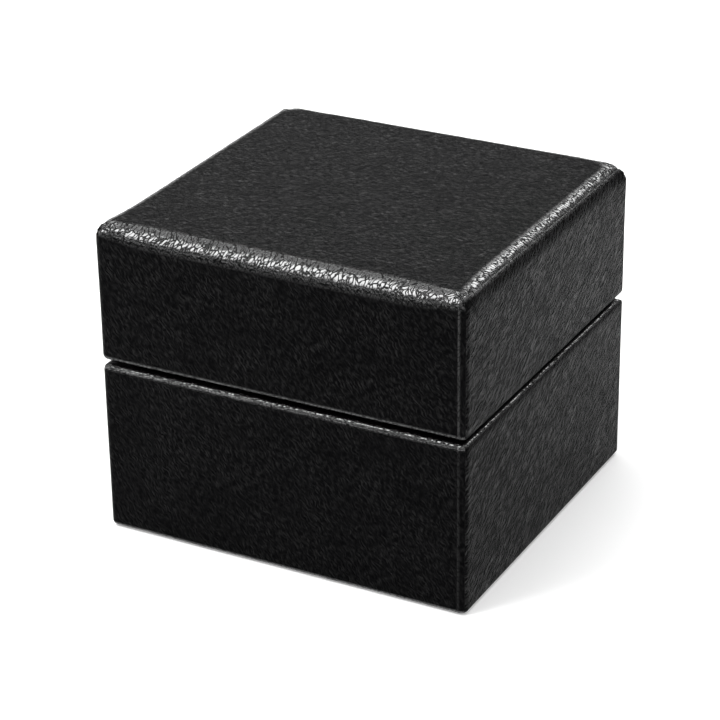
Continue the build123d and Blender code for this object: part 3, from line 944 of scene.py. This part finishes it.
def cut_away(piece: bpy.types.Object, bm: bmesh.types.BMesh) -> None:
    """Cuts a closed millimetre mesh, which is freed here, out of a piece."""
    bmesh.ops.recalc_face_normals(bm, faces=bm.faces)
    cutter = place_mesh(bm, "cutter")
    cut = piece.modifiers.new("cut", "BOOLEAN")
    cut.object, cut.operation, cut.solver = cutter, "DIFFERENCE", "EXACT"
    settle(piece)
    bpy.data.objects.remove(cutter)


@dataclass(frozen=True)
class HingeNotches:
    """The notches in a wrap's rear rim for the hinges' leaves and knuckles, in millimetres."""

    rim: float = 0.6
    overrun: float = 0.4
    leather: float = 0.8
    play: float = 0.06
    hem: float = 9.0
    knuckle: float = 1.6
    side_play: float = 0.6
    segments: int = 40

    def cut(self, piece: bpy.types.Object, side: int, face_inset: float) -> None:
        """Cuts the notches.

        Args:
            piece: The wrap.
            side: 1 for the lid, which lies above the hinge axis, or -1 for the base.
            face_inset: How deep the turned-in hem's inner face lies.
        """
        joint = next(joint for joint in frame["joints"] if joint["name"] == "lid_hinge")
        axis_y, axis_z = joint["pos_m"][1] / MM, joint["pos_m"][2] / MM
        inner_y = node_box("lid_leather_cover")[1].y - face_inset
        start_y, start_z = inner_y - self.play, self.rim - self.overrun
        pins = [node_box(name) for name in ("left_hinge_pin", "right_hinge_pin")]
        places = [((low.x + high.x) / 2, high.x - low.x + self.side_play) for low, high in pins]
        arm = (axis_y, self.rim + self.leather + self.play)
        leaf = (inner_y + self.leather + self.play, self.rim + self.hem + self.play)
        for end_y, end_z in (arm, leaf):
            bm = bmesh.new()
            for centre_x, width in places:
                made = bmesh.ops.create_cube(bm, size=1.0)["verts"]
                bmesh.ops.scale(bm, vec=(width, end_y - start_y, end_z - start_z), verts=made)
                middle = Vector(
                    (centre_x, (start_y + end_y) / 2, axis_z + side * (start_z + end_z) / 2)
                )
                bmesh.ops.translate(bm, vec=middle, verts=made)
            cut_away(piece, bm)
        bm = bmesh.new()
        for centre_x, width in places:
            along_x = Matrix.Rotation(math.pi / 2, 4, "Y")
            bmesh.ops.create_cone(
                bm, cap_ends=True, segments=self.segments, radius1=self.knuckle,
                radius2=self.knuckle, depth=width,
                matrix=Matrix.Translation((centre_x, axis_y, axis_z)) @ along_x,
            )
        cut_away(piece, bm)


def settle(piece: bpy.types.Object) -> None:
    """Applies a piece's modifiers to its mesh."""
    evaluated = piece.evaluated_get(bpy.context.evaluated_depsgraph_get())
    mesh = bpy.data.meshes.new_from_object(evaluated, preserve_all_data_layers=True,
                                           depsgraph=bpy.context.evaluated_depsgraph_get())
    old = piece.data
    piece.modifiers.clear()
    piece.data = mesh
    bpy.data.meshes.remove(old)


@dataclass(frozen=True)
class CornerTucks:
    """The creases that fan out from each top corner of a wrap, in millimetres."""

    depth: float = 0.26
    furthest: float = 18.0
    rays: int = 9
    twist: float = 4.0
    twist_size: float = 6.0
    off_corner: float = 0.6
    fade: float = 5.0
    fade_in: tuple[float, float] = (0.5, 3.0)
    pinch: float = 0.9
    pinch_reach: float = 2.6

    def push(self, place: Vector, from_x: float, from_y: float, below: float) -> float:
        """Returns how far the creases push the skin.

        Args:
            place: A point of the skin.
            from_x: How far it lies inside the wrap along X.
            from_y: How far it lies inside the wrap along Y.
            below: How far it lies below the top.

        Returns:
            The push along the normal.
        """
        reach = math.sqrt(from_x**2 + from_y**2 + below**2)
        if reach > self.furthest:
            return 0.0
        heading = math.atan2(below - from_y, from_x + self.off_corner)
        twist = self.twist * noise.noise(place / self.twist_size)
        fan = math.cos(self.rays * heading + twist)
        fade = math.exp(-reach / self.fade) * smoothstep(*self.fade_in, reach)
        pinch = -self.pinch * math.exp(-(reach / self.pinch_reach) ** 2)
        return self.depth * (fan * fade + pinch)


@dataclass
class LidWrap(Wrap):
    """The lid's leather, padded along its top edges and tucked at its top corners."""

    node: str = "lid_leather_cover"
    name: str = "lid_wrap"
    body: Body = Body.LID
    opening: Opening = Opening.BOTTOM
    mouth_inset: float = 5.1
    closed_roll: float = 5.4
    open_roll: float = 1.5
    sheet_shift: float = 0.0
    wave_mm: float = 0.07
    wave_size: float = 17.0
    wave_seed: float = 3.0
    wrinkle_mm: float = 0.12
    wrinkle_line: float = 1.6
    wrinkle_fade: tuple[float, float] = (1.2, 7.0)
    seam_mm: float = 0.16
    seam_polish: float = 0.35
    corner_share: float = 0.75
    tight_roll: float = 3.8
    tucks: CornerTucks = CornerTucks()
    groove_mm: float = 0.6
    groove_width: float = 0.8
    groove_fade: tuple[float, float] = (3.0, 9.0)

    def gather(self, place: Vector, edge: float) -> float:
        """Returns how far the tucks and the mitred fold at a top corner push the skin."""
        from_x, from_y = self.half[0] - abs(place.x), self.half[1] - abs(place.y)
        push = self.tucks.push(place, from_x, from_y, self.high.z - place.z)
        if place.z > self.open_z + self.open_roll:
            near = 1 - smoothstep(*self.groove_fade, math.hypot(from_x, from_y))
            mitre = math.exp(-((from_x - from_y) / self.groove_width) ** 2)
            push -= edge * self.groove_mm * near * mitre
        return push


@dataclass
class BaseWrap(Wrap):
    """The base's leather, drawn over a small rim and turned under the foot."""

    node: str = "base_leather_cover"
    name: str = "base_wrap"
    body: Body = Body.BASE
    opening: Opening = Opening.TOP
    mouth_inset: float = 5.6
    closed_roll: float = 1.2
    open_roll: float = 1.6
    sheet_shift: float = 50.0
    wave_mm: float = 0.06
    wave_size: float = 15.0
    wave_seed: float = 9.0
    wrinkle_mm: float = 0.09
    wrinkle_line: float = 0.5
    wrinkle_fade: tuple[float, float] = (0.4, 3.2)
    seam_mm: float = 0.14
    seam_polish: float = 0.15
    corner_share: float = -1.0
    front_corner_share: float = -1.0


@dataclass(frozen=True)
class SoftCopy:
    """A carried-over piece with its corners eased, in place of its plain CAD node.

    Sizes are in millimetres and angles in degrees.
    """

    node: str
    name: str
    body: Body
    slot: str
    ease: float = 0.0
    segments: int = 3
    padded: Optional[float] = None
    merge: float = 0.002
    flat_angle: float = 2.0
    eased_angle: float = 50.0
    smooth_angle: float = 30.0

    def build(self, materials: dict[str, bpy.types.Material]) -> bpy.types.Object:
        """Copies the node's mesh, merges it, eases its edges and puts it in the node's place."""
        bm = bmesh.new()
        bm.from_mesh(frame["nodes"][self.node].data)
        bmesh.ops.scale(bm, vec=(1 / MM,) * 3, verts=bm.verts)
        bmesh.ops.remove_doubles(bm, verts=bm.verts, dist=self.merge)
        bmesh.ops.dissolve_limit(
            bm, angle_limit=math.radians(self.flat_angle), verts=bm.verts, edges=bm.edges,
        )
        if self.ease:
            sharp = [
                edge for edge in bm.edges
                if edge.is_manifold and edge.calc_face_angle(0) > math.radians(self.eased_angle)
            ]
            bmesh.ops.bevel(
                bm, geom=sharp, offset=self.ease, offset_type="OFFSET", segments=self.segments,
                profile=0.5, affect="EDGES", clamp_overlap=True, material=-1,
            )
        bmesh.ops.triangulate(bm, faces=bm.faces)
        piece = finish_piece(
            bm, self.name, self.body, materials[self.slot], [self.node],
            self.smooth_angle,
        )
        return piece


@dataclass(frozen=True)
class PadForm:
    """A low cushion: a dense slab whose free side is crowned and whose edge is rolled.

    Its face is 1 where the free side looks up, or -1 for down. Sizes are in millimetres.
    """

    node: str
    name: str
    body: Body
    face: int
    crown: float
    roll: float
    corner: float
    fill: float
    crown_share: float = 0.42
    wave_mm: float = 0.12
    wave_size: float = 9.0
    wave_seed: float = 5.0
    parts: tuple[int, int, int] = (60, 60, 6)

    def on_outline(self, x: float, y: float, size: Vector) -> tuple[float, float]:
        """Draws a point of a slab of a half size on to an outline with rounded corners."""
        core_x = clamp(x, -(size.x - self.corner), size.x - self.corner)
        core_y = clamp(y, -(size.y - self.corner), size.y - self.corner)
        away = Vector((x - core_x, y - core_y))
        if abs(away.x) < TINY or abs(away.y) < TINY:
            return x, y
        reach = max(abs(away.x), abs(away.y))
        return core_x + away.x * reach / away.length, core_y + away.y * reach / away.length

    def height(self, x: float, y: float, size: Vector, share: float) -> float:
        """Returns how far a point stands off the pad's flat side.

        Args:
            x: The point's place along X from the pad's middle.
            y: Its place along Y.
            size: The pad's half size.
            share: Which share of the thickness lies below the point.

        Returns:
            The height in millimetres.
        """
        inset = min(size.x - abs(x), size.y - abs(y))
        rounded = min(inset / self.roll, 1.0)
        fall = self.roll * (1 - math.sqrt(max(1 - (1 - rounded) ** 2, 0.0)))
        crown = self.crown * (1 - smoothstep(0, self.crown_share * min(size.x, size.y), inset))
        soft = self.wave_mm * noise.noise(Vector((x, y, self.wave_seed)) / self.wave_size)
        return share * (2 * size.z - fall * share - crown + soft * share)

    def build(self, material: bpy.types.Material) -> bpy.types.Object:
        """Models the pad within its CAD node's box and puts it in the node's place."""
        low, high = node_box(self.node)
        centre, size = (low + high) / 2, (high - low) / 2
        bm = dense_cube(self.parts)
        for vert in bm.verts:
            x, y = self.on_outline(vert.co.x * size.x, vert.co.y * size.y, size)
            height = self.height(x, y, size, (vert.co.z * self.face + 1) / 2)
            z = low.z + height if self.face > 0 else high.z - height
            vert.co = Vector((centre.x + x, centre.y + y, z))
        bmesh.ops.recalc_face_normals(bm, faces=bm.faces)
        piece = finish_piece(bm, self.name, self.body, material, [self.node], 50.0)
        return piece


@dataclass
class Pillow:
    """The watch pillow: a stuffed sleeve between two sewn end panels. Sizes are in millimetres."""

    rounding: float = 16.0
    draw: float = 2.4
    fullness: float = 2.4
    bulge: float = 2.2
    start_inset: float = 1.2
    voxel: float = 1.6
    pressure: float = 4.0
    quality: int = 6
    swell_cap: float = 1.6
    frames: int = 20
    seam_depth: float = 0.7
    seam_width: float = 0.9
    pucker_count: int = 26
    pucker_drift: float = 8.0
    pucker_mm: float = 0.28
    pucker_reach: float = 3.5
    fold_mm: float = 0.25
    fold_length: float = 14.0
    folds_around: float = 2.2
    cloth: float = 0.8
    smooth_angle: float = 60.0
    parts: tuple[int, int, int] = (56, 48, 48)
    low: Vector = field(init=False)
    high: Vector = field(init=False)

    def __post_init__(self) -> None:
        """Reads the pillow's outside from its CAD nodes."""
        ends = [node_box(name) for name in ("pillow_cover", "pillow_left_end", "pillow_right_end")]
        self.low = Vector(min(box[0][axis] for box in ends) for axis in range(3))
        self.high = Vector(max(box[1][axis] for box in ends) for axis in range(3))

    @property
    def centre(self) -> Vector:
        """The middle of the pillow."""
        return (self.low + self.high) / 2

    @property
    def size(self) -> Vector:
        """The pillow's half size."""
        return (self.high - self.low) / 2

    @property
    def seam_x(self) -> float:
        """How far each end seam lies from the middle."""
        return self.size.x - self.bulge

    def blank_point(self, along: float, across: float, up: float) -> Vector:
        """Returns where a point of the unit cube lies on the pillow, from the pillow's middle."""
        ring = max(abs(across), abs(up))
        pull = self.draw * abs(along) ** self.fullness + self.start_inset
        half_y, half_z = self.size.y - pull, self.size.z - pull
        rounding = self.rounding - pull
        y, z = across / ring * half_y, up / ring * half_z
        core_y = clamp(y, -(half_y - rounding), half_y - rounding)
        core_z = clamp(z, -(half_z - rounding), half_z - rounding)
        away = Vector((y - core_y, z - core_z))
        if abs(away.x) > TINY and abs(away.y) > TINY:
            y = core_y + away.x * rounding / away.length
            z = core_z + away.y * rounding / away.length
        x = along * (self.seam_x - self.start_inset)
        if abs(along) > 1 - TINY:
            x += math.copysign(self.bulge * (1 - ring**2), along)
            y, z = y * ring, z * ring
        return Vector((x, y, z))

    def blank(self) -> bpy.types.Object:
        """Returns the pillow's form before it is stuffed, as an object in metres."""
        bm, centre = dense_cube(self.parts), self.centre
        for vert in bm.verts:
            vert.co = centre + self.blank_point(*vert.co)
        bmesh.ops.recalc_face_normals(bm, faces=bm.faces)
        return place_mesh(bm, "pillow_blank")

    def stuff(self, piece: bpy.types.Object) -> None:
        """Swells the sewn shape with a cloth simulation, held to a small cap."""
        remesh = piece.modifiers.new("even_mesh", "REMESH")
        remesh.mode, remesh.voxel_size = "VOXEL", self.voxel * MM
        settle(piece)
        rest = [vert.co.copy() for vert in piece.data.vertices]
        cloth = piece.modifiers.new("stuffing", "CLOTH")
        cloth.settings.use_pressure = True
        cloth.settings.uniform_pressure_force = self.pressure
        cloth.settings.effector_weights.gravity = 0.0
        cloth.settings.quality = self.quality
        scene = bpy.context.scene
        for number in range(1, self.frames + 1):
            scene.frame_set(number)
        settle(piece)
        scene.frame_set(1)
        limit = self.swell_cap * MM
        for vert, start in zip(piece.data.vertices, rest):
            move = vert.co - start
            if move.length > limit:
                vert.co = start + move * (limit / move.length)

    def sew(self, bm: bmesh.types.BMesh) -> None:
        """Draws the two end seams in and puckers the cloth beside them."""
        bm.normal_update()
        centre, seam_x = self.centre, self.seam_x
        moves = {}
        for vert in bm.verts:
            place = vert.co - centre
            across = abs(place.x) - seam_x
            around = math.atan2(place.z, place.y)
            drift = 2 * noise.noise(place / self.pucker_drift)
            pucker = 0.5 + 0.5 * math.cos(self.pucker_count * around + drift)
            groove = self.seam_depth * math.exp(-(across / self.seam_width) ** 2)
            ripple = self.pucker_mm * pucker * math.exp(-abs(across) / self.pucker_reach)
            fold_at = Vector((place.x / self.fold_length, around * self.folds_around, 1.0))
            moves[vert] = vert.normal * (self.fold_mm * noise.noise(fold_at) - groove - ripple)
        for vert, move in moves.items():
            vert.co += move

    def portion(self, blank: bpy.types.Object,
                keeps: Callable[[float], bool]) -> bmesh.types.BMesh:
        """Returns a sewn part of the pillow.

        Args:
            blank: The stuffed pillow.
            keeps: Whether a face stays, from where it lies along X.

        Returns:
            The part's outer side.
        """
        bm = bmesh.new()
        bm.from_mesh(blank.data)
        bmesh.ops.scale(bm, vec=(1 / MM,) * 3, verts=bm.verts)
        bmesh.ops.subdivide_edges(bm, edges=bm.edges, cuts=1, use_grid_fill=True, smooth=0.0)
        bmesh.ops.smooth_vert(bm, verts=bm.verts, factor=0.5)
        for x in (-self.seam_x, self.seam_x):
            everything = bm.verts[:] + bm.edges[:] + bm.faces[:]
            bmesh.ops.bisect_plane(bm, geom=everything, plane_co=(x, 0, 0), plane_no=(1, 0, 0))
        self.sew(bm)
        waste = [face for face in bm.faces if not keeps(face.calc_center_median().x)]
        bmesh.ops.delete(bm, geom=waste, context="FACES")
        return bm

    def build(self, material: bpy.types.Material) -> None:
        """Models the sleeve and its ends and puts them in place of the CAD nodes."""
        seam_x = self.seam_x
        blank = self.blank()
        self.stuff(blank)
        portions = (
            ("pillow_sleeve", lambda x: abs(x) < seam_x, ["pillow_cover", "pillow_core"]),
            ("pillow_left_panel", lambda x: x <= -seam_x, ["pillow_left_end"]),
            ("pillow_right_panel", lambda x: x >= seam_x, ["pillow_right_end"]),
        )
        for name, keeps, nodes in portions:
            piece = finish_piece(
                self.portion(blank, keeps), name, Body.PILLOW, material, nodes,
                self.smooth_angle,
            )
            wall = piece.modifiers.new("cloth_wall", "SOLIDIFY")
            wall.thickness, wall.offset = self.cloth * MM, -1.0
            settle(piece)
        bpy.data.objects.remove(blank)


@dataclass(frozen=True)
class Softbox:
    """A soft light that hangs in a direction from the box and faces it, in metres and watts."""

    name: str
    heading: tuple[float, float, float]
    distance: float
    size: tuple[float, float]
    power: float
    aim_height: float = 0.045

    def hang(self) -> None:
        """Adds the light to the scene."""
        lamp = bpy.data.lights.new(self.name, "AREA")
        lamp.shape, lamp.energy = "RECTANGLE", self.power
        lamp.size, lamp.size_y = self.size
        holder = bpy.data.objects.new(self.name, lamp)
        towards = Vector(self.heading).normalized()
        holder.matrix_world = (
            Matrix.Translation(towards * self.distance + Vector((0, 0, self.aim_height)))
            @ towards.to_track_quat("Z", "Y").to_matrix().to_4x4()
        )
        bpy.context.scene.collection.objects.link(holder)


@dataclass(frozen=True)
class Studio:
    """The plain floor, the soft lights and the camera at the photograph's angle.

    Angles are in degrees, sizes in millimetres, and the sky's stops are a height and a level.
    """

    azimuth: float = 28.19
    elevation: float = 25.88
    roll: float = -0.81
    distance: float = 705.0
    target: tuple[float, float, float] = (-2.81, 0.0, 37.91)
    focal_length: float = 132.9
    floor_half: float = 6000.0
    sky: tuple[tuple[float, float], ...] = (
        (0.0, 0.12), (0.15, 0.08), (0.3, 0.25), (0.45, 0.5), (0.6, 0.9), (0.9, 1.2),
    )
    sky_strength: float = 2.0
    softboxes: tuple[Softbox, ...] = (
        Softbox("front_softbox", (-0.43, -0.52, 0.84), 1.3, (0.45, 1.25), 13.5),
        Softbox("rear_left_softbox", (-0.5, 0.8, 0.47), 2.0, (1.3, 0.7), 8.0),
        Softbox("rear_softbox", (0.1, 0.95, 0.72), 1.4, (0.6, 0.35), 4.0),
        Softbox("right_fill", (0.9, -0.5, 0.8), 2.2, (1.6, 1.6), 5.0),
    )

    def camera(self) -> None:
        """Makes the camera and makes it the scene's own."""
        turn, tilt, lean = (math.radians(a) for a in (self.azimuth, self.elevation, self.roll))
        level = math.cos(tilt)
        back = Vector((math.sin(turn) * level, -math.cos(turn) * level, math.sin(tilt)))
        right = Vector((math.cos(turn), math.sin(turn), 0))
        up = back.cross(right)
        leaned_right = right * math.cos(lean) + up * math.sin(lean)
        leaned_up = up * math.cos(lean) - right * math.sin(lean)
        camera = bpy.data.objects.new("camera", bpy.data.cameras.new("camera"))
        camera.data.lens = self.focal_length
        camera.data.clip_start, camera.data.clip_end = 0.01, 50.0
        turned = Matrix((leaned_right, leaned_up, back)).transposed().to_4x4()
        place = (Vector(self.target) + back * self.distance) * MM
        camera.matrix_world = Matrix.Translation(place) @ turned
        bpy.context.scene.collection.objects.link(camera)
        bpy.context.scene.camera = camera

    def floor(self) -> None:
        """Makes the floor that the box stands on."""
        bm = bmesh.new()
        bmesh.ops.create_grid(bm, x_segments=1, y_segments=1, size=self.floor_half)
        floor = place_mesh(bm, "floor")
        floor.data.materials.append(FloorFinish().material())

    def world(self) -> None:
        """Sets the world's soft fill, which is dark low down and pale overhead."""
        bpy.context.scene.view_settings.view_transform = "Standard"
        world = bpy.data.worlds.new("studio_world")
        bpy.context.scene.world = world
        world.use_nodes = True
        nodes, links = world.node_tree.nodes, world.node_tree.links
        heading = nodes.new("ShaderNodeTexCoord")
        parts = nodes.new("ShaderNodeSeparateXYZ")
        links.new(heading.outputs["Generated"], parts.inputs[0])
        glow = nodes.new("ShaderNodeValToRGB")
        stops = glow.color_ramp.elements
        for number, (height, level) in enumerate(self.sky):
            stop = stops[number] if number < 2 else stops.new(height)
            stop.position = height
            stop.color = (level / self.sky_strength,) * 3 + (1,)
        links.new(parts.outputs["Z"], glow.inputs["Fac"])
        links.new(glow.outputs["Color"], nodes["Background"].inputs["Color"])
        nodes["Background"].inputs["Strength"].default_value = self.sky_strength

    def build(self) -> None:
        """Makes the whole studio."""
        self.camera()
        self.floor()
        self.world()
        for softbox in self.softboxes:
            softbox.hang()


CARRIED = {
    "carcass_board": (
        "base_floor_board", "base_front_board", "base_back_board", "base_left_board",
        "base_right_board", "lid_top_board", "lid_front_board", "lid_back_board",
        "lid_left_board", "lid_right_board",
    ),
    "panel_card": ("lid_panel_board",),
    "black_card": ("lining_collar",),
    "black_flock": ("underside_sheet",),
    "cream_suede": ("lid_lining",),
    "spring_steel": ("left_hinge_spring", "right_hinge_spring"),
}

FINISHES = {
    "black_leather": LeatherFinish(),
    "cream_suede": NapFinish("cream_suede_nap", (0.62, 0.52, 0.38, 1), (0.56, 0.462, 0.33, 1)),
    "black_flock": NapFinish(
        "black_flock_nap", (0.018, 0.018, 0.019, 1), (0.008, 0.008, 0.009, 1), sheen=0.12,
    ),
    "black_card": BoardFinish(
        "black_card_fibre", (0.010, 0.010, 0.011, 1), (0.018, 0.018, 0.019, 1), roughness=0.62,
    ),
    "carcass_board": BoardFinish("pressed_board", (0.30, 0.20, 0.11, 1), (0.42, 0.30, 0.18, 1)),
    "panel_card": BoardFinish("panel_card_fibre", (0.36, 0.34, 0.30, 1), (0.46, 0.44, 0.40, 1)),
    "white_foam": BoardFinish(
        "white_foam_cells", (0.80, 0.79, 0.76, 1), (0.68, 0.67, 0.63, 1), fleck_per_mm=2.4,
    ),
    "hinge_steel": SteelFinish("hinge_nickel", (0.62, 0.60, 0.57, 1)),
    "spring_steel": SteelFinish("spring_blue_steel", (0.42, 0.42, 0.43, 1), roughness=0.34),
    "screw_steel": SteelFinish("screw_nickel", (0.66, 0.64, 0.60, 1), roughness=0.22),
}

BLOCKS = (
    SoftCopy("insert_block", "insert", Body.BASE, "cream_suede", ease=0.9),
    SoftCopy("lid_foam_pad", "foam_sheet", Body.LID, "white_foam", padded=0.9),
)

PADS = (
    PadForm(
        "well_pad", "well_cushion", Body.BASE,
        face=1, crown=0.4, roll=1.6, corner=5.7, fill=0.8,
    ),
    PadForm(
        "lid_panel_pad", "lid_cushion", Body.LID,
        face=-1, crown=1.3, roll=1.8, corner=3.0, fill=0.7,
    ),
)

HINGE_PARTS = (("base_leaf", Body.BASE), ("lid_leaf", Body.LID), ("pin", Body.BASE))

METALWORK = (
    *(
        SoftCopy(f"{side}_hinge_{part}", f"{side}_{part}_plated", body, "hinge_steel")
        for side in ("left", "right") for part, body in HINGE_PARTS
    ),
    SoftCopy("base_hinge_screws", "base_screws", Body.BASE, "screw_steel", ease=0.12, segments=2),
    SoftCopy("lid_hinge_screws", "lid_screws", Body.LID, "screw_steel", ease=0.12, segments=2),
)


def dress_carried(materials: dict[str, bpy.types.Material]) -> None:
    """Gives the CAD nodes that stay in view their finishes."""
    for slot, names in CARRIED.items():
        for name in names:
            node = frame["nodes"][name]
            node.data.materials.clear()
            node.data.materials.append(materials[slot])
            log.info("%s: carried over with %s", name, slot)


def main() -> None:
    """Builds the looks in order, from the outside in, and then the studio."""
    logging.basicConfig(level=logging.INFO, format="%(name)s: %(message)s")
    materials = {slot: finish.material() for slot, finish in FINISHES.items()}
    leather, suede = materials["black_leather"], materials["cream_suede"]
    dress_carried(materials)
    for wrap in (LidWrap(), BaseWrap()):
        wrap.build(leather)
    for block in BLOCKS:
        block.build(materials)
    for pad in PADS:
        pad.build(suede)
    Pillow().build(suede)
    for fitting in METALWORK:
        fitting.build(materials)
    Studio().build()


if __name__ == "__main__":
    main()
